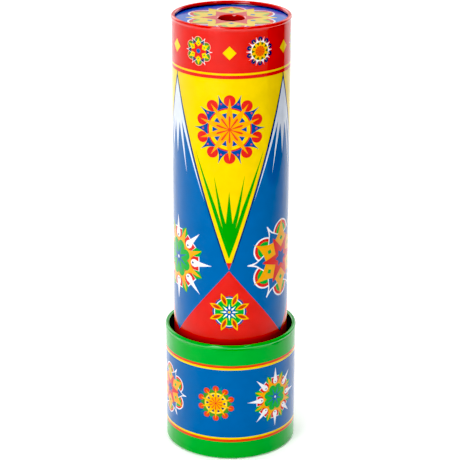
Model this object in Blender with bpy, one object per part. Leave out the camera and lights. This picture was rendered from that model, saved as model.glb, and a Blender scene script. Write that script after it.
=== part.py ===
"""Tinplate kaleidoscope, standing on its turning end.

A printed tube holds three mirrors in a card sleeve between an eyepiece plate
and an inner window. A wider collar turns round the tube's lower end on two
guide rings and carries the chamber of loose coloured pieces.

Units are metres, +Z is up, and the origin is at the centre of the foot.
"""

from math import cos, pi, radians, sin, sqrt

import bmesh
import bpy
from mathutils import Matrix, Vector

# ---------------------------------------------------------------- dimensions
TIN = 0.0003                  # tinplate thickness
GAP = 0.0003                  # clearance between flat faces that touch
ROUND_GAP = 0.00036           # clearance of round pieces with different facets

TUBE_RADIUS = 0.02766         # outside of the tube's wall
TUBE_TOP = 0.2127             # top of the rolled rim, the object's height
TUBE_RIM = 0.0019             # diameter of the rolled rim
TUBE_RIM_PROUD = 0.00024      # how far the rim stands outside the wall

COLLAR_RADIUS = 0.03175       # outside of the collar's wall
COLLAR_TOP = 0.0596
COLLAR_RIM = 0.0021           # diameter of the rolled rim
COLLAR_RIM_PROUD = 0.00015    # how far the rim stands outside the wall
COLLAR_CORNER = 0.0013        # outside radius of the bottom edge
FOOT_HOLE_RADIUS = 0.0265     # opening that shows the frosted disc

PLATE_RECESS = 0.0020         # end plate below the rim
PLATE_SKIRT = 0.0050          # depth of the edge turned down inside the tube
PLATE_EDGE = 0.0006           # outside radius of that bend
EYEHOLE_RADIUS = 0.00625
EYEHOLE_FLANGE = 0.0027       # depth of the turned-down edge
EYEHOLE_BEND = 0.0008         # outside radius of the turned-down edge

CELL_RADIUS = 0.0307          # discs and spacer ring of the chamber
CELL_DISC = 0.0015
CELL_DEPTH = 0.0080
CELL_WALL = 0.0015
LOCK_RING_HEIGHT = 0.0030
LOCK_RING_HOLE = 0.0270

FOOT_FLANGE_RADIUS = 0.0298   # the tube's turned-out foot
GUIDE_HEIGHT = 0.0060
UPPER_GUIDE_Z = 0.0500

WINDOW_THICKNESS = 0.0015
CARD_THICKNESS = 0.0010
CARD_HOLE_RADIUS = 0.0080
SNAP_WIRE = 0.0012
SNAP_GAP = radians(24.0)

MIRROR_INRADIUS = 0.0110      # axis to each reflecting face
MIRROR_THICKNESS = 0.0015
MIRROR_EDGE_GAP = 0.00035     # each mirror's edge short of the triangle's corner
SLEEVE_THICKNESS = 0.0008
RING_HEIGHT = 0.0080
UPPER_RING_Z = 0.1880

CHIP_THICKNESS = 0.0012
LOOSE_FIELD_RADIUS = 0.0245   # the loose pieces' centres stay inside this
LOOSE_KINDS = 8
LOOSE_OF_EACH = 3
LOOSE_TURN = 2.3              # radians between one piece's heading and the next
TRIANGLE_CHIP = 0.0034        # centre to corner of each chip
SQUARE_CHIP = 0.0031
HEXAGON_CHIP = 0.0028
DIAMOND_CHIP = (0.0034, 0.0019)
STAR_CHIP = (0.0033, 0.0015)  # centre to point and to notch
ROUND_BEAD = 0.0019           # radius
RING_BEAD = 0.0015            # radius to the middle of its ring
RING_BEAD_WIRE = 0.0007
TUBE_BEAD = 0.0011            # radius; the bead lies on its side
TUBE_BEAD_HOLE = 0.0005
TUBE_BEAD_LENGTH = 0.0052

SEGMENTS = 48                 # round the tube and the collar
INNER_SEGMENTS = 40           # round the pieces inside
CURL_STEPS = 6                # along a rolled rim

# ------------------------------------------------------------- derived sizes
TUBE_BORE = TUBE_RADIUS - TIN
COLLAR_BORE = COLLAR_RADIUS - TIN
FITTED_RADIUS = TUBE_BORE - ROUND_GAP      # discs and rings inside the tube
GUIDE_BORE = TUBE_RADIUS + GAP
GUIDE_RADIUS = COLLAR_BORE - ROUND_GAP

FROSTED_Z = TIN + GAP
SPACER_Z = FROSTED_Z + CELL_DISC + GAP
CLEAR_DISC_Z = SPACER_Z + CELL_DEPTH + GAP
LOCK_RING_Z = CLEAR_DISC_Z + CELL_DISC + GAP
TUBE_FOOT = LOCK_RING_Z + LOCK_RING_HEIGHT + GAP
LOWER_GUIDE_Z = TUBE_FOOT + TIN + GAP

SNAP_RING_Z = TUBE_FOOT + TIN + GAP
INNER_WINDOW_Z = SNAP_RING_Z + SNAP_WIRE + GAP
MIRROR_Z = INNER_WINDOW_Z + WINDOW_THICKNESS + GAP

PLATE_TOP = TUBE_TOP - PLATE_RECESS
EYE_WINDOW_Z = PLATE_TOP - EYEHOLE_FLANGE - GAP - WINDOW_THICKNESS
SIGHT_CARD_Z = EYE_WINDOW_Z - GAP - CARD_THICKNESS
MIRROR_LENGTH = SIGHT_CARD_Z - GAP - MIRROR_Z
EYE_DISC_RADIUS = FITTED_RADIUS - TIN - ROUND_GAP

MIRROR_HALF_WIDTH = MIRROR_INRADIUS * sqrt(3.0) - MIRROR_EDGE_GAP
SLEEVE_INRADIUS = MIRROR_INRADIUS + MIRROR_THICKNESS + GAP
LOOSE_Z = FROSTED_Z + CELL_DISC + GAP


# ------------------------------------------------------------------- scene
def clear_scene():
    for obj in list(bpy.data.objects):
        bpy.data.objects.remove(obj, do_unlink=True)


def make_material(name, colour, roughness, metallic=0.0, alpha=1.0):
    """A Principled BSDF in a colour given as 0-255 sRGB."""
    linear = [((c / 255.0 + 0.055) / 1.055) ** 2.4 if c > 10 else c / 3294.6 for c in colour]
    material = bpy.data.materials.new(name)
    material.use_nodes = True
    shader = material.node_tree.nodes["Principled BSDF"]
    shader.inputs["Base Color"].default_value = (*linear, 1.0)
    shader.inputs["Roughness"].default_value = roughness
    shader.inputs["Metallic"].default_value = metallic
    shader.inputs["Alpha"].default_value = alpha
    return material


def make_axis(name, parent=None):
    """An empty on the object's axis, which carries one moving body."""
    axis = bpy.data.objects.new(name, None)
    axis.empty_display_size = 0.02
    axis.parent = parent
    bpy.context.scene.collection.objects.link(axis)
    return axis


def finish_mesh(name, bm, material, parent, z=0.0):
    """Turn a closed bmesh into a named object at a height on the axis."""
    bmesh.ops.recalc_face_normals(bm, faces=bm.faces)
    mesh = bpy.data.meshes.new(name)
    bm.to_mesh(mesh)
    bm.free()
    mesh.shade_smooth()
    mesh.set_sharp_from_angle(angle=radians(38.0))
    mesh.materials.append(material)
    obj = bpy.data.objects.new(name, mesh)
    obj.location = (0.0, 0.0, z)
    obj.parent = parent
    bpy.context.scene.collection.objects.link(obj)
    return obj


# ------------------------------------------------------------------ shapes
def turn(bm, profile, segments, sweep=2.0 * pi):
    """Spin a closed (radius, height) outline about Z; part turns are capped."""
    verts = [bm.verts.new((r, 0.0, z)) for r, z in profile]
    geometry = [bm.faces.new(verts)] if sweep < 2.0 * pi else []
    if not geometry:
        geometry = [bm.edges.new((a, b)) for a, b in zip(verts, verts[1:] + verts[:1])]
    bmesh.ops.spin(
        bm,
        geom=verts + geometry,
        cent=(0.0, 0.0, 0.0),
        axis=(0.0, 0.0, 1.0),
        dvec=(0.0, 0.0, 0.0),
        angle=sweep,
        steps=segments,
        use_merge=sweep >= 2.0 * pi,
        use_duplicate=False,
    )
    bmesh.ops.remove_doubles(bm, verts=bm.verts, dist=1e-7)


def turned(name, profile, segments, material, parent, z=0.0):
    bm = bmesh.new()
    turn(bm, profile, segments)
    return finish_mesh(name, bm, material, parent, z)


def plain_ring(name, inner, outer, height, material, parent, z):
    profile = [(inner, 0.0), (outer, 0.0), (outer, height), (inner, height)]
    return turned(name, profile, INNER_SEGMENTS, material, parent, z)


def disc(name, radius, thickness, material, parent, z):
    bm = bmesh.new()
    bmesh.ops.create_cone(
        bm,
        cap_ends=True,
        segments=INNER_SEGMENTS,
        radius1=radius,
        radius2=radius,
        depth=thickness,
        matrix=Matrix.Translation((0.0, 0.0, 0.5 * thickness)),
    )
    return finish_mesh(name, bm, material, parent, z)


def arc(centre_r, centre_z, radius, start, end, steps):
    """Points of an arc in the (radius, height) plane, angles in degrees."""
    angles = [radians(start + (end - start) * i / steps) for i in range(steps + 1)]
    return [(centre_r + radius * cos(a), centre_z + radius * sin(a)) for a in angles]


def rolled_rim(wall_radius, proud, top, size):
    """Section of a sheet edge rolled inward, from the outer wall to the inner.

    The roll is a C that ends inside the wall, pointing down.
    """
    outer = 0.5 * size
    inner = outer - TIN
    centre_r = wall_radius + proud - outer
    centre_z = top - outer
    shoulder = top - 1.2 * size
    shell = arc(centre_r, centre_z, outer, -45.0, 225.0, CURL_STEPS)
    core = arc(centre_r, centre_z, inner, 225.0, -40.0, CURL_STEPS)
    return [(wall_radius, shoulder)] + shell + core + [(wall_radius - TIN, shoulder)]


def ray_outline(count, *radii):
    """An outline with evenly spaced corners whose radii follow each other in turn."""
    corners = count * len(radii)
    return [
        (radii[i % len(radii)] * cos(2.0 * pi * i / corners),
         radii[i % len(radii)] * sin(2.0 * pi * i / corners))
        for i in range(corners)
    ]


def clipped_triangle(inradius, clip):
    """A triangle of given inradius whose corners are cut off at a distance clip."""
    half = (clip - 0.5 * inradius) / (0.5 * sqrt(3.0))
    points = []
    for side in range(3):
        turn_by = Matrix.Rotation(2.0 * pi * side / 3.0, 2)
        points += [turn_by @ Vector((inradius, -half)), turn_by @ Vector((inradius, half))]
    return [tuple(p) for p in points]


def add_prism(bm, outline, height):
    """Extrude a flat outline upward as one closed solid."""
    verts = [bm.verts.new((x, y, 0.0)) for x, y in outline]
    face = bm.faces.new(verts)
    top = bmesh.ops.extrude_face_region(bm, geom=[face])["geom"]
    top_verts = [v for v in top if isinstance(v, bmesh.types.BMVert)]
    bmesh.ops.translate(bm, verts=top_verts, vec=(0.0, 0.0, height))


# ------------------------------------------------------------- main pieces
def build_tube(material, parent):
    """Printed tube: turned-out foot, straight wall and rolled top rim."""
    rim = rolled_rim(TUBE_RADIUS, TUBE_RIM_PROUD, TUBE_TOP, TUBE_RIM)
    foot = [
        (TUBE_BORE, TUBE_FOOT),
        (FOOT_FLANGE_RADIUS, TUBE_FOOT),
        (FOOT_FLANGE_RADIUS, TUBE_FOOT + TIN),
        (TUBE_RADIUS, TUBE_FOOT + TIN),
    ]
    return turned("body_tube", foot + rim, SEGMENTS, material, parent)


def build_collar(material, parent):
    """Turning collar: flat foot turned inward, wall and rolled top rim."""
    rim = rolled_rim(COLLAR_RADIUS, COLLAR_RIM_PROUD, COLLAR_TOP, COLLAR_RIM)
    corner_r = COLLAR_RADIUS - COLLAR_CORNER
    inside = arc(corner_r, COLLAR_CORNER, COLLAR_CORNER - TIN, 0.0, -90.0, 3)
    outside = arc(corner_r, COLLAR_CORNER, COLLAR_CORNER, -90.0, 0.0, 4)
    foot = inside + [(FOOT_HOLE_RADIUS, TIN), (FOOT_HOLE_RADIUS, 0.0)] + outside
    return turned("collar_shell", foot + rim, SEGMENTS, material, parent)


def build_eyepiece_plate(material, parent):
    """Recessed end plate: skirt down inside the tube, eyehole edge turned down."""
    bend = EYEHOLE_BEND
    edge = PLATE_EDGE
    flange_r = EYEHOLE_RADIUS + bend
    skirt_r = FITTED_RADIUS - edge
    profile = arc(skirt_r, PLATE_TOP - edge, edge, 0.0, 90.0, 3)
    profile += arc(flange_r, PLATE_TOP - bend, bend, 90.0, 180.0, 4)
    profile += [
        (EYEHOLE_RADIUS, PLATE_TOP - EYEHOLE_FLANGE),
        (EYEHOLE_RADIUS + TIN, PLATE_TOP - EYEHOLE_FLANGE),
    ]
    profile += arc(flange_r, PLATE_TOP - bend, bend - TIN, 180.0, 90.0, 3)
    profile += arc(skirt_r, PLATE_TOP - edge, edge - TIN, 90.0, 0.0, 2)
    profile += [
        (FITTED_RADIUS - TIN, PLATE_TOP - PLATE_SKIRT),
        (FITTED_RADIUS, PLATE_TOP - PLATE_SKIRT),
    ]
    return turned("eyepiece_plate", profile, INNER_SEGMENTS, material, parent)


def build_mirrors(material, parent):
    """Three flat strips whose reflecting faces make an open triangle."""
    outline = [
        (MIRROR_INRADIUS, -MIRROR_HALF_WIDTH),
        (MIRROR_INRADIUS + MIRROR_THICKNESS, -MIRROR_HALF_WIDTH),
        (MIRROR_INRADIUS + MIRROR_THICKNESS, MIRROR_HALF_WIDTH),
        (MIRROR_INRADIUS, MIRROR_HALF_WIDTH),
    ]
    for index in range(3):
        bm = bmesh.new()
        add_prism(bm, outline, MIRROR_LENGTH)
        mirror = finish_mesh(f"mirror_{index + 1}", bm, material, parent, MIRROR_Z)
        mirror.rotation_euler.z = radians(90.0 + 120.0 * index)


def corner_clip(inradius):
    """Distance at which a triangle of that inradius clears the mirrors' edges."""
    edge = 0.5 * (MIRROR_INRADIUS + MIRROR_THICKNESS) + 0.5 * sqrt(3.0) * MIRROR_HALF_WIDTH
    return edge + GAP + (inradius - SLEEVE_INRADIUS)


def build_sleeve(material, parent):
    """Card sleeve folded round the mirrors, open at both ends."""
    outer_inradius = SLEEVE_INRADIUS + SLEEVE_THICKNESS
    inner = clipped_triangle(SLEEVE_INRADIUS, corner_clip(SLEEVE_INRADIUS))
    outer = clipped_triangle(outer_inradius, corner_clip(outer_inradius))
    bm = bmesh.new()
    loops = []
    for outline, z in ((inner, 0.0), (outer, 0.0), (outer, MIRROR_LENGTH), (inner, MIRROR_LENGTH)):
        loops.append([bm.verts.new((x, y, z)) for x, y in outline])
    count = len(inner)
    for a, b in zip(loops, loops[1:] + loops[:1]):
        for i in range(count):
            j = (i + 1) % count
            bm.faces.new((a[i], a[j], b[j], b[i]))
    sleeve = finish_mesh("mirror_sleeve", bm, material, parent, MIRROR_Z)
    sleeve.rotation_euler.z = radians(90.0)


def build_centring_ring(name, z, material, parent):
    """Foam ring with a clipped triangular hole for the sleeve."""
    inradius = SLEEVE_INRADIUS + SLEEVE_THICKNESS + GAP
    ring = disc(name, FITTED_RADIUS, RING_HEIGHT, material, parent, z)
    bm = bmesh.new()
    add_prism(bm, clipped_triangle(inradius, corner_clip(inradius)), 2.0 * RING_HEIGHT)
    cutter = finish_mesh(name + "_cutter", bm, material, parent, z - 0.5 * RING_HEIGHT)
    cutter.rotation_euler.z = radians(90.0)
    cutter.hide_render = True
    cutter.display_type = "WIRE"
    cut = ring.modifiers.new("sleeve_hole", "BOOLEAN")
    cut.operation = "DIFFERENCE"
    cut.solver = "EXACT"
    cut.object = cutter


def build_snap_ring(material, parent):
    """Split wire ring that keeps the inner window in the tube."""
    wire = 0.5 * SNAP_WIRE
    profile = arc(FITTED_RADIUS - wire, wire, wire, 0.0, 300.0, 5)
    bm = bmesh.new()
    turn(bm, profile, INNER_SEGMENTS, 2.0 * pi - SNAP_GAP)
    ring = finish_mesh("window_snap_ring", bm, material, parent, SNAP_RING_Z)
    ring.rotation_euler.z = 0.5 * pi + 0.5 * SNAP_GAP


# ------------------------------------------------------------ loose pieces
def scatter(name, kind, bm, lift, tilt, colour, parent):
    """Copies of one loose piece, lying on the frosted disc on a sunflower spiral."""
    total = LOOSE_KINDS * LOOSE_OF_EACH
    golden = pi * (3.0 - sqrt(5.0))
    material = make_material(name + "_plastic", colour, 0.12, 0.0, 0.75)
    first = finish_mesh(f"{name}_1", bm, material, parent)
    copies = [first]
    for number in range(2, LOOSE_OF_EACH + 1):
        copy = bpy.data.objects.new(f"{name}_{number}", first.data)
        copy.parent = parent
        bpy.context.scene.collection.objects.link(copy)
        copies.append(copy)
    for place, piece in enumerate(copies):
        index = kind + LOOSE_KINDS * place
        radius = LOOSE_FIELD_RADIUS * sqrt((index + 0.5) / total)
        angle = golden * index
        piece.location = (radius * cos(angle), radius * sin(angle), LOOSE_Z + lift)
        piece.rotation_euler = (tilt, 0.0, LOOSE_TURN * index)


def build_chips(name, kind, outline, colour, parent):
    bm = bmesh.new()
    add_prism(bm, outline, CHIP_THICKNESS)
    scatter(name, kind, bm, 0.0, 0.0, colour, parent)


def build_loose_pieces(parent):
    """Eight kinds of loose piece."""
    build_chips("loose_red_triangle", 0, ray_outline(3, TRIANGLE_CHIP), (225, 25, 35), parent)
    build_chips("loose_yellow_square", 1, ray_outline(4, SQUARE_CHIP), (250, 215, 20), parent)
    build_chips("loose_blue_hexagon", 2, ray_outline(6, HEXAGON_CHIP), (20, 80, 205), parent)
    build_chips("loose_green_diamond", 3, ray_outline(2, *DIAMOND_CHIP), (20, 160, 60), parent)
    build_chips("loose_orange_star", 4, ray_outline(5, *STAR_CHIP), (245, 130, 20), parent)

    bead = bmesh.new()
    bmesh.ops.create_icosphere(bead, subdivisions=2, radius=ROUND_BEAD)
    scatter("loose_white_bead", 5, bead, ROUND_BEAD, 0.0, (240, 240, 245), parent)

    ring = bmesh.new()
    turn(ring, arc(RING_BEAD, 0.0, RING_BEAD_WIRE, 30.0, 330.0, 5), 12)
    scatter("loose_violet_ring", 6, ring, RING_BEAD_WIRE, 0.0, (140, 60, 180), parent)

    half = 0.5 * TUBE_BEAD_LENGTH
    wall = [(TUBE_BEAD_HOLE, -half), (TUBE_BEAD, -half), (TUBE_BEAD, half), (TUBE_BEAD_HOLE, half)]
    tube = bmesh.new()
    turn(tube, wall, 10)
    scatter("loose_turquoise_tube", 7, tube, TUBE_BEAD, 0.5 * pi, (30, 175, 185), parent)


# ---------------------------------------------------------------- assembly
def build_body(parent):
    print_blue = make_material("printed_tin_blue", (2, 104, 188), 0.22)
    plate_blue = make_material("printed_tin_plate", (60, 90, 170), 0.22)
    clear = make_material("clear_plastic", (235, 240, 242), 0.05, 0.0, 0.25)
    black_card = make_material("black_card", (24, 24, 26), 0.85)
    grey_card = make_material("grey_card", (150, 142, 128), 0.9)
    foam = make_material("white_foam", (225, 224, 218), 0.95)
    mirror = make_material("mirror", (235, 237, 240), 0.03, 1.0)
    steel = make_material("spring_steel", (170, 172, 175), 0.25, 1.0)

    build_tube(print_blue, parent)
    build_eyepiece_plate(plate_blue, parent)
    disc("eyepiece_window", EYE_DISC_RADIUS, WINDOW_THICKNESS, clear, parent, EYE_WINDOW_Z)
    plain_ring(
        "sight_card", CARD_HOLE_RADIUS, EYE_DISC_RADIUS, CARD_THICKNESS,
        black_card, parent, SIGHT_CARD_Z,
    )
    build_mirrors(mirror, parent)
    build_sleeve(grey_card, parent)
    build_centring_ring("upper_centring_ring", UPPER_RING_Z, foam, parent)
    build_centring_ring("lower_centring_ring", MIRROR_Z, foam, parent)
    disc("inner_window", FITTED_RADIUS, WINDOW_THICKNESS, clear, parent, INNER_WINDOW_Z)
    build_snap_ring(steel, parent)


def build_turning_end(parent):
    print_green = make_material("printed_tin_green", (8, 178, 50), 0.22)
    black = make_material("black_plastic", (22, 22, 24), 0.45)
    clear = make_material("chamber_clear_plastic", (235, 240, 242), 0.05, 0.0, 0.25)
    frosted = make_material("frosted_plastic", (228, 232, 235), 0.6, 0.0, 0.7)
    white = make_material("white_plastic", (230, 230, 228), 0.4)

    build_collar(print_green, parent)
    disc("chamber_frosted_disc", CELL_RADIUS, CELL_DISC, frosted, parent, FROSTED_Z)
    plain_ring(
        "chamber_spacer_ring", CELL_RADIUS - CELL_WALL, CELL_RADIUS, CELL_DEPTH,
        white, parent, SPACER_Z,
    )
    disc("chamber_clear_disc", CELL_RADIUS, CELL_DISC, clear, parent, CLEAR_DISC_Z)
    plain_ring(
        "chamber_lock_ring", LOCK_RING_HOLE, GUIDE_RADIUS, LOCK_RING_HEIGHT,
        black, parent, LOCK_RING_Z,
    )
    for name, z in (("guide_ring_lower", LOWER_GUIDE_Z), ("guide_ring_upper", UPPER_GUIDE_Z)):
        plain_ring(name, GUIDE_BORE, GUIDE_RADIUS, GUIDE_HEIGHT, black, parent, z)


def main():
    clear_scene()
    body_axis = make_axis("kaleidoscope_axis")
    collar_axis = make_axis("collar_axis", body_axis)
    loose_axis = make_axis("loose_pieces_axis", collar_axis)
    build_body(body_axis)
    build_turning_end(collar_axis)
    build_loose_pieces(loose_axis)


main()
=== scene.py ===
from cmath import rect
from math import ceil, cos, degrees, pi, radians, sin, sqrt

import bpy
from mathutils import Matrix, Vector
from mathutils.geometry import delaunay_2d_cdt
from mathutils.kdtree import KDTree


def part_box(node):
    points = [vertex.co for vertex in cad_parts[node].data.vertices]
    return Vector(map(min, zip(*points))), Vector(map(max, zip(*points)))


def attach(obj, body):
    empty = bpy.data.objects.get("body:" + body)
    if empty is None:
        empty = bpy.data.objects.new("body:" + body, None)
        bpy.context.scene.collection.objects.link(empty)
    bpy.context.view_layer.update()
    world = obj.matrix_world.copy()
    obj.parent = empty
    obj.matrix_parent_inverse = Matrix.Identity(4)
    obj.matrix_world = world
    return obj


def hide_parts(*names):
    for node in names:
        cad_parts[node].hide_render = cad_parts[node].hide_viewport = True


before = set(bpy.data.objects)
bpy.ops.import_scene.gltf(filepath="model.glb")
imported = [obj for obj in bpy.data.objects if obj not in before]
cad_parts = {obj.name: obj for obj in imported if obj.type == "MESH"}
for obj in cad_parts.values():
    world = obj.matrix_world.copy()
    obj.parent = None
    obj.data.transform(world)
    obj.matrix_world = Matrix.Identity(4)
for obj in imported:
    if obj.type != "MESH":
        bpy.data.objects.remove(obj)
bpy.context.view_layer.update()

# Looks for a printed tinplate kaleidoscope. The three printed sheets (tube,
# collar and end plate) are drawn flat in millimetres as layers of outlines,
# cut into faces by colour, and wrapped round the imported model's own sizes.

MM = 0.001

# ------------------------------------------------------------- dimensions, mm
TIN = 0.3
TUBE_R = 27.66
TUBE_RIM = 1.9
TUBE_RIM_PROUD = 0.24
FOOT_FLANGE_R = 29.8
COLLAR_R = 31.75
COLLAR_RIM = 2.1
COLLAR_RIM_PROUD = 0.15
COLLAR_CORNER = 1.3
FOOT_HOLE_R = 26.5
PLATE_R = 27.0
PLATE_EDGE = 0.6
PLATE_SKIRT = 5.0
EYEHOLE_R = 6.25
EYEHOLE_BEND = 0.8
EYEHOLE_FLANGE = 2.7


def heights(node):
    """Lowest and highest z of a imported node, in millimetres."""
    low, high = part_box(node)
    return low[2] / MM, high[2] / MM


TUBE_FOOT, TUBE_TOP = heights("body_tube")
COLLAR_FOOT, COLLAR_TOP = heights("collar_shell")
PLATE_TOP = heights("eyepiece_plate")[1]

SEGMENT_ANGLE = 3.0           # degrees round the tube and the collar
ROW_HEIGHT = 8.0              # of the sheets' own grid
ROLL_ANGLES = (-45.0, 225.0)  # start and end of a rim's rolled edge, outside
ROLL_CORE_END = -40.0         # and where its inside meets the wall again
ROLL_SHOULDER = 1.2           # rim diameters from the top down to the wall
WELD = 0.002                  # points this close are one
CUT_MERGE = 1e-4
CUT_FACES = 4                 # the cut's own faces, ready for a mesh


# ------------------------------------------------------------------ materials
def linear(rgb):
    """0-255 sRGB to a linear RGBA colour."""
    out = [(c / 255.0 / 12.92) if c <= 10 else ((c / 255.0 + 0.055) / 1.055) ** 2.4 for c in rgb]
    return (*out, 1.0)


def new_material(name, roughness, metallic=0.0, **sockets):
    """A Principled material; other sockets are given with _ for spaces."""
    material = bpy.data.materials.new(name)
    material.use_nodes = True
    shader = material.node_tree.nodes["Principled BSDF"]
    shader.inputs["Roughness"].default_value = roughness
    shader.inputs["Metallic"].default_value = metallic
    for socket, value in sockets.items():
        shader.inputs[socket.replace("_", " ")].default_value = value
    return material, material.node_tree, shader


def noise(tree, scale, detail=2.0, stretch=(1.0, 1.0, 1.0)):
    """Noise in object space; scale is in cycles per metre."""
    place = tree.nodes.new("ShaderNodeTexCoord")
    mapping = tree.nodes.new("ShaderNodeMapping")
    mapping.inputs["Scale"].default_value = stretch
    texture = tree.nodes.new("ShaderNodeTexNoise")
    texture.inputs["Scale"].default_value = scale
    texture.inputs["Detail"].default_value = detail
    tree.links.new(place.outputs["Object"], mapping.inputs["Vector"])
    tree.links.new(mapping.outputs["Vector"], texture.inputs["Vector"])
    return texture.outputs["Fac"]


def remap(tree, value, low, high, start=0.3, end=0.7):
    """Stretch a value's start-end range to low-high, clamped."""
    node = tree.nodes.new("ShaderNodeMapRange")
    node.inputs["From Min"].default_value = start
    node.inputs["From Max"].default_value = end
    node.inputs["To Min"].default_value = low
    node.inputs["To Max"].default_value = high
    tree.links.new(value, node.inputs["Value"])
    return node.outputs["Result"]


def mix_colour(tree, factor, first, second):
    """From the first colour at 0 to the second at 1."""
    node = tree.nodes.new("ShaderNodeMix")
    node.data_type = "RGBA"
    node.inputs["A"].default_value = first
    node.inputs["B"].default_value = second
    tree.links.new(factor, node.inputs["Factor"])
    return node.outputs["Result"]


def bump(tree, shader, height, strength, distance, below=None):
    """Bump the shader's normal, over an earlier bump if one is given."""
    node = tree.nodes.new("ShaderNodeBump")
    node.inputs["Strength"].default_value = strength
    node.inputs["Distance"].default_value = distance
    tree.links.new(height, node.inputs["Height"])
    if below is not None:
        tree.links.new(below, node.inputs["Normal"])
    tree.links.new(node.outputs["Normal"], shader.inputs["Normal"])
    return node.outputs["Normal"]


WHITE = (1.0, 1.0, 1.0, 1.0)
SHEET_VARNISH = 1.3           # index of the coat; higher is glossier
RIM_VARNISH = 1.6
PLATE_VARNISH = 2.1


def shade(rgb, factor):
    """A darker or lighter version of an sRGB colour, kept within range."""
    return tuple(min(255.0, max(0.0, c * factor)) for c in rgb)


def printed_ink(name, rgb, varnish=SHEET_VARNISH):
    """Litho ink under gloss varnish on tinplate: fine grain, slight mottle, soft waves."""
    material, tree, shader = new_material(
        "ink_" + name, 0.34, Specular_IOR_Level=0.1,
        Coat_Weight=1.0, Coat_Roughness=0.07, Coat_IOR=varnish)
    grain = noise(tree, 5200.0, 3.0)
    mottle = noise(tree, 160.0, 3.0)
    blend = tree.nodes.new("ShaderNodeMath")
    blend.operation = "MULTIPLY_ADD"
    blend.inputs[1].default_value = 0.45
    tree.links.new(grain, blend.inputs[0])
    tree.links.new(remap(tree, mottle, 0.0, 0.55), blend.inputs[2])
    dark, light = linear(shade(rgb, 0.965)), linear(shade(rgb, 1.03))
    tree.links.new(mix_colour(tree, blend.outputs["Value"], dark, light), shader.inputs["Base Color"])
    wear = noise(tree, 900.0, 4.0, (1.0, 1.0, 0.12))
    tree.links.new(remap(tree, wear, 0.30, 0.44), shader.inputs["Roughness"])
    waves = bump(tree, shader, noise(tree, 55.0, 1.0), 0.25, 0.0006)
    bump(tree, shader, noise(tree, 1900.0, 2.0), 0.10, 0.00003, waves)
    return material


INK_COLOURS = {
    "red": (225, 40, 33),
    "rust": (206, 62, 22),
    "vermilion": (230, 72, 28),
    "yellow": (247, 212, 0),
    "lemon": (255, 234, 90),
    "amber": (252, 196, 4),
    "sun": (252, 172, 8),
    "orange": (240, 112, 20),
    "blue": (0, 101, 172),
    "royal": (0, 72, 160),
    "navy": (8, 40, 104),
    "green": (0, 175, 48),
    "grass": (4, 162, 6),
    "leaf": (66, 152, 44),
    "forest": (8, 84, 24),
    "teal": (10, 140, 150),
    "white": (244, 244, 250),
    "lavender": (222, 230, 244),
    "blush": (250, 190, 168),
    "olive": (112, 112, 12),
    "pink": (214, 62, 88),
}
PLATE_COLOURS = {
    "cobalt": (8, 104, 214),
    "lime": (150, 190, 60),
    **{name: INK_COLOURS[name] for name in ("white", "red", "yellow", "blue")},
}
INKS = {name: printed_ink(name, rgb) for name, rgb in INK_COLOURS.items()}
PLATE_INKS = {
    name: printed_ink("plate_" + name, rgb, PLATE_VARNISH) for name, rgb in PLATE_COLOURS.items()}
RIM_RED = printed_ink("rim_red", INK_COLOURS["red"], RIM_VARNISH)
RIM_GREEN = printed_ink("rim_green", INK_COLOURS["green"], RIM_VARNISH)


def bare_tin():
    """Unprinted tinplate inside the tube, dull and slightly streaked."""
    material, tree, shader = new_material("bare_tinplate", 0.38, 1.0)
    streak = noise(tree, 420.0, 4.0, (1.0, 1.0, 0.08))
    colour = mix_colour(tree, streak, linear((150, 148, 142)), linear((188, 186, 180)))
    tree.links.new(colour, shader.inputs["Base Color"])
    tree.links.new(remap(tree, streak, 0.30, 0.50), shader.inputs["Roughness"])
    return material


def collar_inside_black():
    """Near-black, slightly glossy surface over the whole inside of the collar."""
    material, tree, shader = new_material("collar_inside_black", 0.25, Coat_Weight=0.4)
    mottle = noise(tree, 500.0, 3.0)
    colour = mix_colour(tree, mottle, linear((7, 7, 8)), linear((16, 16, 18)))
    tree.links.new(colour, shader.inputs["Base Color"])
    tree.links.new(remap(tree, mottle, 0.29, 0.40), shader.inputs["Roughness"])
    bump(tree, shader, mottle, 0.15, 0.0001)
    return material


TIN_INSIDE = bare_tin()
BLACK_INSIDE = collar_inside_black()


def moulded(name, rgb, roughness=0.4, transmission=0.0, grain=700.0):
    """Moulded plastic with a faint grain and uneven gloss."""
    material, tree, shader = new_material(name, roughness, Transmission_Weight=transmission, IOR=1.49)
    texture = noise(tree, grain, 3.0)
    colour = mix_colour(tree, texture, linear(shade(rgb, 0.93)), linear(shade(rgb, 1.04)))
    tree.links.new(colour, shader.inputs["Base Color"])
    tree.links.new(remap(tree, texture, roughness * 0.8, roughness * 1.25), shader.inputs["Roughness"])
    bump(tree, shader, texture, 0.12, 0.00008)
    return material


def card(name, rgb):
    """Pressed card with visible fibres."""
    material, tree, shader = new_material(name, 0.9)
    fibres = noise(tree, 1400.0, 6.0, (1.0, 1.0, 0.25))
    colour = mix_colour(tree, fibres, linear(shade(rgb, 0.78)), linear(shade(rgb, 1.12)))
    tree.links.new(colour, shader.inputs["Base Color"])
    tree.links.new(remap(tree, fibres, 0.82, 0.96), shader.inputs["Roughness"])
    bump(tree, shader, fibres, 0.4, 0.0002)
    return material


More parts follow.
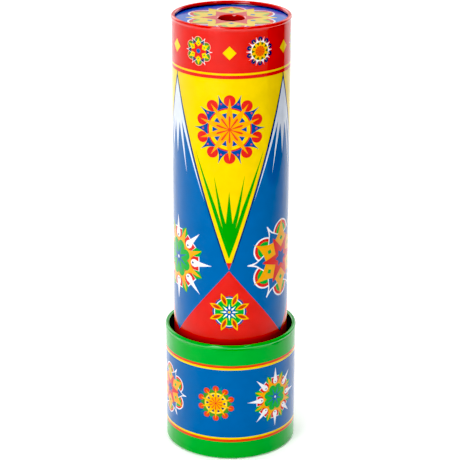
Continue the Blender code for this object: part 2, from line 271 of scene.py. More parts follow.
def foam(name, rgb):
    """Open foam: round cells, with painted shade darkening the colour where their relief sinks."""
    material, tree, shader = new_material(name, 0.95)
    place = tree.nodes.new("ShaderNodeTexCoord")
    cells = tree.nodes.new("ShaderNodeTexVoronoi")
    cells.inputs["Scale"].default_value = 1300.0
    tree.links.new(place.outputs["Object"], cells.inputs["Vector"])
    relief_and_shade = remap(tree, cells.outputs["Distance"], 1.0, 0.0, 0.1, 0.6)
    # Painted shade: the colour falls to 0.6 of the foam's own where the relief sinks.
    colour = mix_colour(tree, relief_and_shade, linear(shade(rgb, 0.6)), linear(rgb))
    tree.links.new(colour, shader.inputs["Base Color"])
    tree.links.new(remap(tree, relief_and_shade, 0.9, 1.0, 0.0, 1.0), shader.inputs["Roughness"])
    bump(tree, shader, relief_and_shade, 0.6, 0.0004)
    return material


def metal(name, rgb, low, high, stretch):
    """Bright metal with streaks of roughness between low and high."""
    material, tree, shader = new_material(name, 0.5 * (low + high), 1.0)
    streak = noise(tree, 600.0, 4.0, stretch)
    colour = mix_colour(tree, streak, linear(shade(rgb, 0.93)), linear(shade(rgb, 1.03)))
    tree.links.new(colour, shader.inputs["Base Color"])
    tree.links.new(remap(tree, streak, low, high), shader.inputs["Roughness"])
    return material


# ------------------------------------------------------- outlines, flat, in mm
# A point is a complex number. Ornaments are drawn round 0 with their first
# ray along +x, and hold (ink role, outline) pairs from the bottom layer up.
def both_sides(half):
    """Close an outline from its upper half, given as (along, across) points."""
    upper = [complex(x, y) for x, y in half]
    lower = [p.conjugate() for p in reversed(upper) if abs(p.imag) > 1e-6]
    return upper + lower


def disc(radius, along=0.0, steps=28):
    """A round outline with its centre on the +x axis."""
    return [along + rect(radius, 2.0 * pi * (i + 0.5) / steps) for i in range(steps)]


def star(tips, outer, inner):
    """Points at the outer radius, notches at the inner one."""
    return [rect((outer, inner)[i % 2], pi * i / tips) for i in range(2 * tips)]


def leaf(start, end, half_width, steps=12):
    """A pointed oval along +x."""
    span = [i / steps for i in range(steps + 1)]
    return both_sides([(start + (end - start) * t, half_width * sin(pi * t)) for t in span])


def sector(radius, half_angle, inner, steps=8):
    """Part of a disc about +x, cut off at an inner radius."""
    turns = [radians(half_angle) * (2.0 * i / steps - 1.0) for i in range(steps + 1)]
    return [rect(radius, t) for t in turns] + [rect(inner, t) for t in reversed(turns)]


def bowed(points, steps=3):
    """Round a list of (along, across) points through a smooth curve."""
    out = []
    last = len(points) - 1
    for i in range(last):
        a, b = points[max(i - 1, 0)], points[i]
        c, d = points[i + 1], points[min(i + 2, last)]
        for k in range(steps):
            t = k / steps
            weights = (
                0.5 * (-t + 2 * t * t - t ** 3), 0.5 * (2 - 5 * t * t + 3 * t ** 3),
                0.5 * (t + 4 * t * t - 3 * t ** 3), 0.5 * (t ** 3 - t * t))
            out.append(tuple(
                sum(w * p[axis] for w, p in zip(weights, (a, b, c, d))) for axis in (0, 1)))
    return out + [points[-1]]


def around(fold, phase, role, outline):
    """Copies of an outline turned evenly about the centre."""
    turns = [rect(1.0, radians(phase + 360.0 * k / fold)) for k in range(fold)]
    return [(role, [p * turn for p in outline]) for turn in turns]


def wheel(line=10.3, ring=9.65, hub=7.95, wedge=(5.3, 8.5), crown=2.9, balls=13.6, core=0.0):
    """Ten-spoked wheel with balls on its rays and a crown of spikes."""
    base = line - 0.2
    inner, turn = wedge
    taper = ((0.0, 1.0), (0.12, 0.78), (0.36, 0.4), (0.62, 0.16), (1.0, 0.0))
    spike = both_sides(bowed([
        (base + (17.3 - base) * along, crown * width) for along, width in taper]))
    ray = both_sides([(6.0, 1.35), (8.0, 1.25), (9.8, 0.8), (12.0, 0.45), (14.8, 0.0)])
    vein = both_sides([(0.8, 0.18), (4.6, 0.5), (5.9, 0.46), (6.6, 0.0)])
    tooth = [inner + 0j] + [rect(hub, radians(turn * i / 2.0)) for i in range(-2, 3)]
    layers = around(10, 18.0, "ball", disc(2.7, balls))
    layers += around(10, 0.0, "crown", spike)
    layers += around(10, 0.0, "tip", both_sides([(13.6, 0.0), (14.2, 0.8), (17.6, 0.0)]))
    layers += around(10, 0.0, "bead", disc(0.48, 12.6, 10))
    layers += [("line", disc(line, steps=60)), ("ring", disc(ring, steps=60))]
    layers += [("ground", disc(hub, steps=60))]
    layers += around(10, 0.0, "wedge", tooth)
    layers += around(10, 18.0, "ray", ray)
    if core:
        layers += [("core", disc(core, steps=40))]
    layers += around(10, 18.0, "vein", vein)
    return layers + [("vein", disc(0.85, steps=12))]


def loops(kite_start=5.2, kite_half=4.75, kite_end=20.0, thorn_end=20.5, thorn_width=1.0):
    """Six round loops behind long kites, with outlined thorns between them."""
    thorn = both_sides(bowed([
        (r, half * thorn_width) for r, half in (
            (10.4, 5.1), (11.8, 4.3), (13.2, 3.2), (14.7, 2.15), (16.8, 1.0), (thorn_end, 0.25))]))
    hollow = both_sides(bowed([
        (r, half * thorn_width) for r, half in (
            (10.0, 4.7), (11.4, 3.8), (12.9, 2.75), (14.5, 1.6), (16.0, 0.6), (17.6, 0.0))]))
    side = [(9.8 + (kite_end - 9.8) * along, kite_half * half) for along, half in (
        (0.0, 1.0), (0.26, 0.58), (0.64, 0.19), (1.0, 0.0))]
    kite = both_sides([(kite_start, 0.0)] + bowed(side))
    layers = []
    for role, radius in (("edge", 6.25), ("arc", 5.5), ("core", 4.0)):
        layers += around(6, 30.0, role, disc(radius, 13.1, 44))
    layers += around(6, 0.0, "thorn", thorn)
    layers += around(6, 0.0, "hollow", hollow)
    layers += [("star", star(6, 12.7, 7.33))]
    layers += around(6, 30.0, "kite", kite)
    layers += around(6, 30.0, "gem", [9.9 + 1.35 * rect(1.0, 0.5 * pi * i) for i in range(4)])
    if kite_start < 6.0:
        layers += [("heart", star(6, 4.6, 2.6))]
    else:
        layers += [("heart", disc(3.0, steps=24))]
    return layers


def thorns():
    """Eight long thorns round an eight-lobed flower."""
    thorn = both_sides([
        (9.85, 0.0), (10.1, 0.9), (10.8, 1.65), (12.3, 2.0), (14.3, 1.3), (16.8, 0.85), (21.5, 0.0)])
    point = both_sides(bowed([
        (9.0, 2.9), (10.2, 1.95), (11.6, 1.35), (13.2, 0.95), (15.0, 0.6), (17.4, 0.0)]))
    layers = around(8, 22.5, "leaf", both_sides([(10.0, 3.0), (14.8, 2.6), (17.9, 0.0)]))
    layers += around(8, 0.0, "edge", both_sides([(10.0, 3.4), (12.0, 3.45), (15.0, 3.7)]))
    layers += around(8, 0.0, "shield", both_sides([(10.0, 3.3), (12.0, 3.35), (14.5, 3.5)]))
    layers += around(8, 22.5, "point", point)
    layers += [("point", disc(10.2, steps=56))]
    layers += around(8, 0.0, "thorn", thorn)
    layers += around(8, 0.0, "bead", disc(0.52, 11.1, 12))
    layers += around(8, 0.0, "shield", both_sides([(6.2, 0.0), (8.3, 0.8)]))
    layers += around(8, 22.5, "flower", disc(2.75, 6.8, 24))
    layers += [("flower", disc(6.5, steps=48))]
    layers += around(8, 22.5, "heart", both_sides([(0.6, 0.5), (2.4, 0.6), (5.0, 0.35), (7.8, 0.0)]))
    return layers + [("heart", disc(2.4, steps=24)), ("thorn", disc(0.8, steps=14))]


def petals():
    """Eight outlined petals over green, with short arcs between them."""
    drop = both_sides([(1.45, 0.0), (1.7, 0.32), (2.3, 0.48), (3.2, 0.25), (4.7, 0.0)])
    layers = around(8, 0.0, "tip", both_sides([(8.3, 0.5), (9.5, 0.0)]))
    layers += around(8, 0.0, "arc", sector(8.6, 12.5, 6.0))
    layers += around(8, 0.0, "edge", sector(7.85, 12.0, 6.0))
    layers += [("ground", disc(7.35, steps=48))]
    layers += around(8, 22.5, "rim", leaf(3.3, 10.9, 1.38))
    layers += around(8, 22.5, "petal", leaf(4.3, 9.6, 0.82))
    layers += around(8, 22.5, "heart", disc(0.75, 2.6, 12))
    layers += [("heart", disc(2.75, steps=24))]
    layers += around(8, 0.0, "drop", drop)
    return layers + [("eye", disc(0.7, steps=14))]


WHEEL_RED = dict(
    ball="red", crown="royal", bead="pink", line="red", ring="yellow", ground="sun",
    wedge="royal", ray="sun", vein="vermilion")
WHEEL_BLUE = dict(
    ball="navy", crown="white", line="white", ring="amber", ground="amber",
    wedge="forest", ray="amber", core="orange", vein="vermilion")
WHEEL_LEAF = dict(
    ball="vermilion", crown="leaf", tip="teal", line="sun", ring="lemon", ground="sun",
    wedge="navy", ray="amber", vein="vermilion")
LOOPS_RED = dict(
    edge="white", arc="red", core="green", thorn="white", hollow="blue", star="red",
    kite="sun", gem="green", heart="royal")
LOOPS_SMALL = dict(
    edge="blush", arc="olive", core="leaf", thorn="white", hollow="navy", star="red",
    kite="yellow", gem="leaf", heart="blue")
LOOPS_PLATE = dict(
    edge="white", arc="red", core="lime", thorn="yellow", hollow="yellow", star="red",
    kite="yellow", gem="blue", heart="red")
THORNS_GREEN = dict(
    leaf="green", edge="white", shield="red", point="sun", thorn="white", bead="navy",
    flower="green", heart="blue")
PETALS_GREEN = dict(
    tip="olive", arc="royal", edge="lavender", ground="green", rim="amber", petal="rust",
    heart="blue", drop="white", eye="yellow")


def placed(layers, palette, centre, scale=1.0):
    """An ornament's outlines in its inks, moved to a place on the sheet.

    Roles the palette doesn't name are left out.
    """
    return [
        (palette[role], [centre + p * scale for p in outline])
        for role, outline in layers if role in palette]


# -------------------------------------------------------------- printed sheets
HEADER_Z = 188.8              # bottom of the red header band
HEADER_LINE = (190.45, 191.35)
HEADER_MOTIF_Z = 200.8
WAIST_Z = 96.2                # where the two tall triangles meet
CUT_Z = 100.2                 # the yellow triangle's tip is red below this
FLOOR_Z = 60.0                # where the red triangles' corners meet
DIAMOND = 3.15
NAVY_OUTLINE = 0.75           # of the tall triangle
SNOW_MARGIN = 1.2             # from its edge
GRASS_MARGIN = 1.65
BIG_MOTIF_ZS = (97.9, 98.3, 98.0)
EDGE_ANGLES = (-63.3, 59.0, 177.8)       # mountain axes, degrees from the front
PANEL_ANGLES = (-1.7, 118.4, -122.7)     # middles of the panels between them


def on_tube(angle):
    """Distance along the tube's sheet from the front, for an angle in degrees."""
    return radians(angle) * TUBE_R


def triangle_side(half, z):
    """Half width of the tall yellow triangle at a height."""
    return half * (z - WAIST_Z) / (HEADER_Z - WAIST_Z)


def snow(axis, side, half):
    """One side of a mountain's snow: long streaks hang from a solid cap."""
    def slope(z):
        return half - triangle_side(half, z) - SNOW_MARGIN

    streaks = [
        (0.0, 185.9), (slope(170.0), 170.0), (slope(150.0), 150.0), (slope(129.7), 129.7),
        (slope(145.0) - 0.7, 145.0), (slope(158.0) - 1.4, 158.0), (3.8, 166.5), (5.9, 153.0),
        (7.5, 141.4), (5.1, 152.0), (1.9, 165.0), (0.8, 157.0), (0.0, 149.8)]
    return [complex(axis + side * x, z) for x, z in streaks]


def grass(axis, half):
    """Blades of grass that fill the foot of the yellow triangle."""
    def margin(z):
        return triangle_side(half, z) - GRASS_MARGIN

    blades = [
        (0.0, 102.2), (margin(112.0), 112.0), (margin(130.0), 130.0), (margin(154.5), 154.5),
        (margin(140.0) - 1.1, 140.0), (margin(128.0) - 1.9, 128.0), (3.1, 117.4), (4.5, 124.0),
        (5.7, 131.5), (7.25, 143.2), (5.1, 133.5), (3.2, 125.5), (1.6, 119.6), (0.75, 127.5), (0.0, 135.4)]
    return [complex(axis + x, z) for x, z in blades] + [
        complex(axis - x, z) for x, z in reversed(blades[1:-1])]


def bar(low, high, reach):
    """A band right round the sheet, a little past both its ends."""
    return [complex(-reach, low), complex(reach, low), complex(reach, high), complex(-reach, high)]


def diamond(centre, size):
    """A square standing on its corner."""
    return [centre + size * rect(1.0, 0.5 * pi * i) for i in range(4)]


def panel(middle, left, right):
    """Everything printed between two mountain axes."""
    layers = []
    sides = ((-1.0, middle - left), (1.0, right - middle))

    def across(z, grow=0.0):
        return [complex(middle + side * (triangle_side(half, z) + grow), z) for side, half in sides]

    for ink, grow in (("navy", NAVY_OUTLINE), ("yellow", 0.0)):
        wide, cut = across(HEADER_Z, grow), across(CUT_Z, grow)
        layers.append((ink, [wide[0], cut[0], cut[1], wide[1]]))
    left_cut, right_cut = across(CUT_Z)
    layers.append(("red", [left_cut, complex(middle, WAIST_Z + 0.5), right_cut]))
    layers.append(("red", [
        complex(middle, WAIST_Z), complex(left, FLOOR_Z), complex(right, FLOOR_Z)]))
    layers.append(("grass", grass(middle, min(middle - left, right - middle))))
    layers += placed(wheel(), WHEEL_RED, complex(middle + 0.1, 165.1))
    layers += placed(petals(), PETALS_GREEN, complex(middle + 0.2, 75.3), 0.94)
    return layers


def header(middle, left, right):
    """Diamonds and small rosettes on the red band at the top."""
    layers = [("yellow", diamond(complex(middle, HEADER_MOTIF_Z), DIAMOND))]
    layers.append(("yellow", diamond(complex(right, HEADER_MOTIF_Z), DIAMOND)))
    small = complex(0.5 * (middle + left), HEADER_MOTIF_Z)
    layers += placed(loops(6.2, 4.4, 18.6, 20.0, 0.8), LOOPS_SMALL, small, 0.352)
    small = complex(0.5 * (middle + right) - 0.35, HEADER_MOTIF_Z + 0.3)
    blue_wheel = wheel(11.5, 10.3, 10.0, (6.4, 10.5), 1.35, 13.9, 6.0)
    return layers + placed(blue_wheel, WHEEL_BLUE, small, 0.405)


def tube_print():
    """The tube's sheet: three panels, a header band and a plain foot."""
    girth = 2.0 * pi * TUBE_R
    reach = 0.55 * girth
    layers = [("blue", bar(TUBE_FOOT - 1.0, TUBE_TOP + 1.0, reach))]
    edges = [on_tube(a) for a in EDGE_ANGLES]
    middles = [on_tube(a) for a in PANEL_ANGLES]
    spans = (
        (middles[0], edges[0], edges[1]),
        (middles[1], edges[1], edges[2]),
        (middles[2], edges[2] - girth, edges[0]),
    )
    for span in spans:
        layers += panel(*span)
    for axis, left, right in (
        (edges[0], middles[2], middles[0]), (edges[1], middles[0], middles[1]),
        (edges[2], middles[1], middles[2] + girth),
    ):
        layers.append(("lavender", snow(axis, -1.0, axis - left)))
        layers.append(("lavender", snow(axis, 1.0, right - axis)))
    big = ((thorns(), THORNS_GREEN), (loops(), LOOPS_RED), (wheel(), WHEEL_RED))
    for axis, z, (ornament, palette) in zip(edges, BIG_MOTIF_ZS, big):
        layers += placed(ornament, palette, complex(axis, z))
    layers.append(("red", bar(TUBE_FOOT - 1.0, FLOOR_Z, reach)))
    layers.append(("red", bar(HEADER_Z, TUBE_TOP + 1.0, reach)))
    layers.append(("yellow", bar(*HEADER_LINE, reach)))
    for span in spans:
        layers += header(*span)
    return wrapped(layers, girth)


def wrapped(layers, girth):
    """Repeat what crosses one end of the sheet at its other end."""
    out = []
    for ink, outline in layers:
        out.append((ink, outline))
        low = min(p.real for p in outline)
        high = max(p.real for p in outline)
        if high - low >= girth:
            continue
        if low < -0.5 * girth:
            out.append((ink, [p + girth for p in outline]))
        if high > 0.5 * girth:
            out.append((ink, [p - girth for p in outline]))
    return out


COLLAR_BANDS = (              # bottom, top and ink, from the lowest layer up
    (9.1, 49.25, "vermilion"),
    (10.5, 48.0, "yellow"),
    (11.5, 46.95, "blue"),
)
COLLAR_MOTIF_Z = 29.4


def collar_print():
    """The collar's sheet: a blue band edged in yellow and orange, with six rosettes."""
    girth = 2.0 * pi * COLLAR_R
    reach = 0.55 * girth
    layers = [("green", bar(COLLAR_FOOT - 1.0, COLLAR_TOP + 1.0, reach))]
    layers += [(ink, bar(low, high, reach)) for low, high, ink in COLLAR_BANDS]
    leafy = wheel(10.4, 9.8, 8.7, (5.9, 8.0), 3.9, 14.2)
    motifs = (
        (-67.6, loops(), LOOPS_RED, 0.685),
        (-12.8, leafy, WHEEL_LEAF, 0.543),
        (42.9, thorns(), THORNS_GREEN, 0.722),
        (105.3, leafy, WHEEL_LEAF, 0.543),
        (167.6, loops(), LOOPS_RED, 0.685),
        (-130.0, leafy, WHEEL_LEAF, 0.543),
    )
    for angle, ornament, palette, scale in motifs:
        place = complex(radians(angle) * COLLAR_R, COLLAR_MOTIF_Z)
        layers += placed(ornament, palette, place, scale)
    return wrapped(layers, girth)


# ------------------------------------------------------------------- mesh work
def signed_area(outline):
    """Positive where the outline runs counter-clockwise."""
    return 0.5 * sum((a.conjugate() * b).imag for a, b in zip(outline, outline[1:] + outline[:1]))


def cut_sheet(layers, lines, hole=None):
    """Cut stacked outlines into flat faces. Gives points and (corners, ink) faces.

    The first layer is the sheet: faces outside it are dropped, and so are
    faces inside the hole. The topmost outline over a face gives its ink.
    """
    points, edges, faces = [], [], []
    outlines = [outline for _, outline in layers] + ([hole] if hole else [])
    for outline in outlines:
        start = len(points)
        if signed_area(outline) < 0.0:
            outline = outline[::-1]
        points += [Vector((p.real, p.imag)) for p in outline]
        faces.append(list(range(start, len(points))))
    for a, b in lines:
        edges.append((len(points), len(points) + 1))
        points += [Vector((a.real, a.imag)), Vector((b.real, b.imag))]
    flat, _, cells, _, _, from_faces = delaunay_2d_cdt(
        points, edges, faces, CUT_FACES, CUT_MERGE, True)
    hole_index = len(layers)
    kept = []
    for cell, sources in zip(cells, from_faces):
        if 0 in sources and hole_index not in sources:
            kept.append((list(cell), layers[max(sources)][0]))
    return [(p[0], p[1]) for p in flat], kept


class Shell:
    """Gathers faces with exact corner normals, then welds them into one mesh."""

    def __init__(self):
        self.points = []
        self.faces = []

    def add(self, corners, material):
        """A face from (position, normal) corners, in millimetres."""
        start = len(self.points)
        self.points += [Vector(point) for point, _ in corners]
        self.faces.append((start, [Vector(normal) for _, normal in corners], material))

    def weld(self):
        """Each point's number mapped to the first point at its place."""
        tree = KDTree(len(self.points))
        for index, point in enumerate(self.points):
            tree.insert(point, index)
        tree.balance()
        first = {}
        for index, point in enumerate(self.points):
            if index not in first:
                near = [i for _, i, _ in tree.find_range(point, WELD) if i not in first]
                first.update(dict.fromkeys(near, index))
        return first

    def build(self, name):
        """The mesh object; faces that the weld closed up are left out."""
        first = self.weld()
        order = {}
        polygons, normals, slots, materials = [], [], [], []
        for start, corner_normals, material in self.faces:
            corners = [first[start + i] for i in range(len(corner_normals))]
            keep = [i for i, c in enumerate(corners) if c != corners[i - 1]]
            distinct = {corners[i] for i in keep}
            if len(distinct) < 3 or len(distinct) < len(keep):
                continue
            polygons.append([order.setdefault(corners[i], len(order)) for i in keep])
            normals += [corner_normals[i] for i in keep]
            if material not in materials:
                materials.append(material)
            slots.append(materials.index(material))
        mesh = bpy.data.meshes.new(name)
        mesh.from_pydata([self.points[i] * MM for i in order], [], polygons)
        for material in materials:
            mesh.materials.append(material)
        mesh.polygons.foreach_set("material_index", slots)
        mesh.shade_smooth()
        mesh.normals_split_custom_set([n.normalized() for n in normals])
        obj = bpy.data.objects.new(name, mesh)
        bpy.context.scene.collection.objects.link(obj)
        return obj


def round_point(radius, z, angle):
    """Angle in degrees from the front, growing to the viewer's right."""
    turn = radians(angle)
    return (radius * sin(turn), -radius * cos(turn), z)


def lathe(shell, profile, angles, material):
    """Turn a run of (radius, z, normal radius, normal z) points about Z."""
    for (r0, z0, nr0, nz0), (r1, z1, nr1, nz1) in zip(profile, profile[1:]):
        for a, b in zip(angles, angles[1:] + [angles[0] + 360.0]):
            shell.add([
                (round_point(r0, z0, a), round_point(nr0, nz0, a)),
                (round_point(r0, z0, b), round_point(nr0, nz0, b)),
                (round_point(r1, z1, b), round_point(nr1, nz1, b)),
                (round_point(r1, z1, a), round_point(nr1, nz1, a)),
            ], material)


def straight(start, end, steps=1):
    """A straight run; its normal is on the right of its direction."""
    dr, dz = end[0] - start[0], end[1] - start[1]
    length = sqrt(dr * dr + dz * dz)
    run = [i / steps for i in range(steps + 1)]
    return [(start[0] + dr * t, start[1] + dz * t, dz / length, -dr / length) for t in run]


def curved(centre, radius, start, end, steps, inside=False):
    """A round run about a centre, angles in degrees; inside faces the centre."""
    sign = -1.0 if inside else 1.0
    out = []
    for i in range(steps + 1):
        a = radians(start + (end - start) * i / steps)
        out.append((
            centre[0] + radius * cos(a), centre[1] + radius * sin(a), sign * cos(a), sign * sin(a)))
    return out


def even_angles():
    """Angles once round, in degrees, from the back."""
    return [-180.0 + SEGMENT_ANGLE * i for i in range(round(360.0 / SEGMENT_ANGLE))]


def add_printed_wall(shell, layers, radius, low, high, angles):
    """Wrap a printed sheet round the axis between two heights."""
    rows = ceil((high - low) / ROW_HEIGHT)
    levels = [low + (high - low) * i / rows for i in range(rows + 1)]
    reach = pi * radius
    columns = [radians(a) * radius for a in angles] + [reach]
    lines = [(complex(s, low), complex(s, high)) for s in columns]
    lines += [(complex(-reach, z), complex(reach, z)) for z in levels]
    ground = layers[0][0]
    flat, cells = cut_sheet([(ground, bar(low, high, reach))] + layers[1:], lines)
    for corners, ink in cells:
        face = []
        for corner in corners:
            s, z = flat[corner]
            angle = degrees(s / radius)
            face.append((round_point(radius, z, angle), round_point(1.0, 0.0, angle)))
        shell.add(face, INKS[ink])


def rolled_rim(shell, wall, proud, top, size, ink, inside, angles):
    """Sheet edge rolled inward; returns the wall height where it starts."""
    outer = 0.5 * size
    inner = outer - TIN
    centre = (wall + proud - outer, top - outer)
    shoulder = top - ROLL_SHOULDER * size
    roll = curved(centre, outer, *ROLL_ANGLES, 30)
    core_run = curved(centre, inner, ROLL_ANGLES[1], ROLL_CORE_END, 24, inside=True)
    lathe(shell, straight((wall, shoulder), roll[0][:2], 2), angles, ink)
    lathe(shell, roll, angles, ink)
    lathe(shell, straight(roll[-1][:2], core_run[0][:2]), angles, inside)
    lathe(shell, core_run, angles, inside)
    lathe(shell, straight(core_run[-1][:2], (wall - TIN, shoulder)), angles, inside)
    return shoulder


def make_tube():
    """Printed tube with rolled rim and turned-out foot."""
    shell = Shell()
    angles = even_angles()
    shoulder = rolled_rim(
        shell, TUBE_R, TUBE_RIM_PROUD, TUBE_TOP, TUBE_RIM, RIM_RED, TIN_INSIDE, angles)
    flange_top = TUBE_FOOT + TIN
    add_printed_wall(shell, tube_print(), TUBE_R, flange_top, shoulder, angles)
    bore = TUBE_R - TIN
    for start, end, steps in (
        ((bore, shoulder), (bore, TUBE_FOOT), 12),
        ((bore, TUBE_FOOT), (FOOT_FLANGE_R, TUBE_FOOT), 1),
        ((FOOT_FLANGE_R, TUBE_FOOT), (FOOT_FLANGE_R, flange_top), 1),
        ((FOOT_FLANGE_R, flange_top), (TUBE_R, flange_top), 1),
    ):
        lathe(shell, straight(start, end, steps), angles, TIN_INSIDE)
    return shell.build("printed_tube")


def make_collar():
    """Printed turning collar, black inside, with its foot turned in."""
    shell = Shell()
    angles = even_angles()
    shoulder = rolled_rim(
        shell, COLLAR_R, COLLAR_RIM_PROUD, COLLAR_TOP, COLLAR_RIM, RIM_GREEN, BLACK_INSIDE, angles)
    corner = COLLAR_FOOT + COLLAR_CORNER
    centre = (COLLAR_R - COLLAR_CORNER, corner)
    add_printed_wall(shell, collar_print(), COLLAR_R, corner, shoulder, angles)
    bore = COLLAR_R - TIN
    lathe(shell, straight((bore, shoulder), (bore, corner), 6), angles, BLACK_INSIDE)
    lathe(shell, curved(centre, COLLAR_CORNER - TIN, 0.0, -90.0, 8, inside=True), angles, BLACK_INSIDE)
    inner_top = (centre[0], COLLAR_FOOT + TIN)
    lathe(shell, straight(inner_top, (FOOT_HOLE_R, COLLAR_FOOT + TIN)), angles, BLACK_INSIDE)
    hole = straight((FOOT_HOLE_R, COLLAR_FOOT + TIN), (FOOT_HOLE_R, COLLAR_FOOT))
    lathe(shell, hole, angles, INKS["green"])
    foot = straight((FOOT_HOLE_R, COLLAR_FOOT), (centre[0], COLLAR_FOOT))
    lathe(shell, foot, angles, INKS["green"])
    lathe(shell, curved(centre, COLLAR_CORNER, -90.0, 0.0, 10), angles, INKS["green"])
    return shell.build("printed_collar")


def make_plate():
    """Recessed end plate: printed face, bent edge and turned-down eyehole."""
    shell = Shell()
    angles = even_angles()
    top, under = PLATE_TOP, PLATE_TOP - TIN
    outer_r, inner_r = PLATE_R - PLATE_EDGE, EYEHOLE_R + EYEHOLE_BEND
    rings = [
        [complex(*round_point(radius, 0.0, a)[:2]) for a in angles]
        for radius in (outer_r, inner_r)]
    rosette = placed(loops(7.4, thorn_end=18.3), LOOPS_PLATE, 0j, 1.15)
    layers = [("cobalt", rings[0])] + rosette
    flat, cells = cut_sheet(layers, [], rings[1])
    for corners, ink in cells:
        shell.add([((*flat[c], top), (0.0, 0.0, 1.0)) for c in corners], PLATE_INKS[ink])
    bend = (inner_r, top - EYEHOLE_BEND)
    edge = (outer_r, top - PLATE_EDGE)
    flange_z, skirt_z = top - EYEHOLE_FLANGE, top - PLATE_SKIRT
    red, blue = PLATE_INKS["red"], PLATE_INKS["cobalt"]
    lathe(shell, curved(bend, EYEHOLE_BEND, 90.0, 180.0, 10), angles, red)
    lathe(shell, straight((EYEHOLE_R, bend[1]), (EYEHOLE_R, flange_z)), angles, red)
    lathe(shell, straight((EYEHOLE_R, flange_z), (EYEHOLE_R + TIN, flange_z)), angles, red)
    lathe(shell, straight((EYEHOLE_R + TIN, flange_z), (EYEHOLE_R + TIN, bend[1])), angles, TIN_INSIDE)
    lathe(shell, curved(bend, EYEHOLE_BEND - TIN, 180.0, 90.0, 6, inside=True), angles, TIN_INSIDE)
    lathe(shell, straight((inner_r, under), (outer_r, under)), angles, TIN_INSIDE)
    lathe(shell, curved(edge, PLATE_EDGE - TIN, 90.0, 0.0, 5, inside=True), angles, TIN_INSIDE)
    lathe(shell, straight((PLATE_R - TIN, edge[1]), (PLATE_R - TIN, skirt_z)), angles, TIN_INSIDE)
    lathe(shell, straight((PLATE_R - TIN, skirt_z), (PLATE_R, skirt_z)), angles, TIN_INSIDE)
    lathe(shell, straight((PLATE_R, skirt_z), (PLATE_R, edge[1])), angles, blue)
    lathe(shell, curved(edge, PLATE_EDGE, 0.0, 90.0, 8), angles, blue)
    return shell.build("printed_end_plate")


# ------------------------------------------------------------- the model's own
LOOSE_COLOURS = {
    "red_triangle": (225, 25, 35),
    "yellow_square": (250, 215, 20),
    "blue_hexagon": (20, 80, 205),
    "green_diamond": (20, 160, 60),
    "orange_star": (245, 130, 20),
    "white_bead": (240, 240, 245),
    "violet_ring": (140, 60, 180),
    "turquoise_tube": (30, 175, 185),
}


def node_materials():
    """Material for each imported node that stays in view."""
    clear = moulded("clear_plastic", (240, 244, 246), 0.06, 0.96, 300.0)
    frosted = moulded("frosted_plastic", (236, 239, 242), 0.45, 0.75, 1500.0)
    black = moulded("black_plastic", (18, 18, 20), 0.42)
    foam_white = foam("white_foam", (225, 224, 218))
    mirror = metal("mirror_silver", (236, 239, 241), 0.015, 0.04, (1.0, 1.0, 1.0))
    out = {
        "eyepiece_window": clear,
        "inner_window": clear,
        "chamber_clear_disc": clear,
        "chamber_frosted_disc": frosted,
        "sight_card": card("black_card", (26, 26, 28)),
        "mirror_sleeve": card("grey_card", (150, 142, 128)),
        "upper_centring_ring": foam_white,
        "lower_centring_ring": foam_white,
        "window_snap_ring": metal("spring_steel", (176, 178, 181), 0.29, 0.4, (0.3, 0.3, 1.0)),
        "guide_ring_upper": black,
        "guide_ring_lower": black,
        "chamber_lock_ring": black,
        "chamber_spacer_ring": moulded("white_plastic", (230, 230, 228), 0.35),
    }
    for number in (1, 2, 3):
        out[f"mirror_{number}"] = mirror
    for kind, rgb in LOOSE_COLOURS.items():
        plastic = moulded("loose_" + kind, rgb, 0.08, 0.6, 900.0)
        for number in (1, 2, 3):
            out[f"loose_{kind}_{number}"] = plastic
    return out


def dress_nodes():
    """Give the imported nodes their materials; their shapes stay as they are."""
    for name, material in node_materials().items():
        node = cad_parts[name]
        node.data.materials.clear()
        node.data.materials.append(material)


# ------------------------------------- floor, light, camera (metres and watts)
FLOOR_REACH = 6.0
FLOOR_DROP = 0.0001
FLOOR_GLOW = 0.2
LIGHT_AIM = (0.0, 0.0, 0.11)
LIGHTS = (                    # name, place, size, power
    ("key", (-0.45, -1.3, 0.9), (0.7, 0.7), 3.3),
    ("low", (-0.5, -1.0, 0.35), (0.5, 0.5), 3.3),
    ("left_strip", (-0.42, -0.55, 1.15), (0.22, 0.30), 2.8),
    ("right_strip", (0.46, -0.55, 1.10), (0.16, 0.26), 1.0),
    ("side", (-1.3, -0.25, 0.6), (0.6, 0.9), 0.6),
    ("back_left", (-0.8, 1.3, 0.7), (0.8, 0.8), 3.9),
    ("back_right", (0.8, 1.3, 0.7), (0.8, 0.8), 2.8),
)
OVERHEAD = (2.1, 40.0)        # strength, degrees across
ROOM_LIGHT = (0.0, 0.62)      # strength at the front and at the back
FLAG_PLACE = (0.40, 0.06, 0.19)
FLAG_SIZE = (0.36, 0.36)
BLACK_LEVEL, WHITE_LEVEL = 0.040, 1.04
CAMERA_PLACE = (-0.0004, -0.795, 0.3967)
CAMERA_LENS = 137.8           # mm, on a sensor 36 mm wide
CAMERA_TILT = 69.95           # degrees up from looking straight down
CAMERA_ROLL = 0.15            # degrees


def make_floor():
    """Pale paper just under the object's foot, glowing a little."""
    mesh = bpy.data.meshes.new("floor")
    reach, z = FLOOR_REACH, -FLOOR_DROP
    corners = [(-reach, -reach, z), (reach, -reach, z), (reach, reach, z), (-reach, reach, z)]
    mesh.from_pydata(corners, [], [(0, 1, 2, 3)])
    floor = bpy.data.objects.new("floor", mesh)
    bpy.context.scene.collection.objects.link(floor)
    material, tree, shader = new_material(
        "floor_paper", 0.9, Emission_Color=WHITE, Emission_Strength=FLOOR_GLOW)
    grain = noise(tree, 40.0, 3.0)
    colour = mix_colour(tree, grain, linear((250, 250, 250)), linear((254, 254, 254)))
    tree.links.new(colour, shader.inputs["Base Color"])
    mesh.materials.append(material)


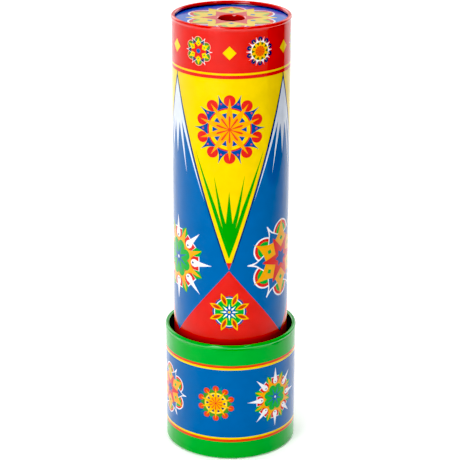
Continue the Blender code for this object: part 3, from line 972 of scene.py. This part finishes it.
def make_light(name, place, size, power):
    """A soft box aimed at the middle of the object."""
    data = bpy.data.lights.new(name, "AREA")
    data.shape = "RECTANGLE"
    data.size, data.size_y = size
    data.energy = power
    lamp = bpy.data.objects.new(name, data)
    lamp.location = place
    aim = Vector(LIGHT_AIM) - Vector(place)
    lamp.rotation_euler = aim.to_track_quat("-Z", "Y").to_euler()
    bpy.context.scene.collection.objects.link(lamp)


def make_overhead(strength, spread):
    """Broad light from above, even over the whole floor and unseen in the gloss."""
    data = bpy.data.lights.new("overhead", "SUN")
    data.energy = strength
    data.angle = radians(spread)
    lamp = bpy.data.objects.new("overhead", data)
    lamp.visible_glossy = False
    bpy.context.scene.collection.objects.link(lamp)


def make_flag(place, size):
    """A black card beside the object, out of the camera's sight, that darkens one side."""
    half_y, half_z = 0.5 * size[0], 0.5 * size[1]
    mesh = bpy.data.meshes.new("flag")
    corners = [
        (0, -half_y, -half_z), (0, half_y, -half_z), (0, half_y, half_z), (0, -half_y, half_z)]
    mesh.from_pydata(corners, [], [(0, 1, 2, 3)])
    flag = bpy.data.objects.new("flag", mesh)
    flag.location = place
    flag.visible_camera = False
    mesh.materials.append(card("flag_card", (12, 12, 12)))
    bpy.context.scene.collection.objects.link(flag)


def make_world(front, back):
    """White behind the camera's view; as light, brighter from behind the object."""
    world = bpy.data.worlds.new("studio")
    world.use_nodes = True
    tree = world.node_tree
    room = tree.nodes["Background"]
    backdrop = tree.nodes.new("ShaderNodeBackground")
    place = tree.nodes.new("ShaderNodeTexCoord")
    axes = tree.nodes.new("ShaderNodeSeparateXYZ")
    ray = tree.nodes.new("ShaderNodeLightPath")
    blend = tree.nodes.new("ShaderNodeMixShader")
    tree.links.new(place.outputs["Generated"], axes.inputs["Vector"])
    tree.links.new(remap(tree, axes.outputs["Y"], front, back, -0.2, 0.9), room.inputs["Strength"])
    tree.links.new(ray.outputs["Is Camera Ray"], blend.inputs["Fac"])
    tree.links.new(room.outputs["Background"], blend.inputs[1])
    tree.links.new(backdrop.outputs["Background"], blend.inputs[2])
    tree.links.new(blend.outputs["Shader"], tree.nodes["World Output"].inputs["Surface"])
    for shader in (room, backdrop):
        shader.inputs["Color"].default_value = WHITE
    bpy.context.scene.world = world


def make_film(black, white):
    """Plain rendering of the colours, with the darkest and lightest tones clipped."""
    film = bpy.context.scene.view_settings
    film.view_transform = "Standard"
    film.use_curve_mapping = True
    film.curve_mapping.black_level = (black, black, black)
    film.curve_mapping.white_level = (white, white, white)
    film.curve_mapping.update()


def make_camera():
    """A long lens from a little above the object."""
    data = bpy.data.cameras.new("camera")
    data.sensor_width = 36.0
    data.lens = CAMERA_LENS
    camera = bpy.data.objects.new("camera", data)
    camera.location = CAMERA_PLACE
    tilt = Matrix.Rotation(radians(CAMERA_TILT), 3, "X")
    roll = Matrix.Rotation(radians(CAMERA_ROLL), 3, "Z")
    camera.rotation_euler = (tilt @ roll).to_euler()
    bpy.context.scene.collection.objects.link(camera)
    bpy.context.scene.camera = camera


make_camera()
make_floor()
make_world(*ROOM_LIGHT)
make_overhead(*OVERHEAD)
for light in LIGHTS:
    make_light(*light)
make_flag(FLAG_PLACE, FLAG_SIZE)
make_film(BLACK_LEVEL, WHITE_LEVEL)

dress_nodes()
for piece, node, body, slot in (
    (make_tube(), "body_tube", "main_tube", "printed_tube_tin"),
    (make_plate(), "eyepiece_plate", "main_tube", "printed_plate_tin"),
    (make_collar(), "collar_shell", "turning_end", "printed_collar_tin"),
):
    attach(piece, body)
    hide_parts(node)
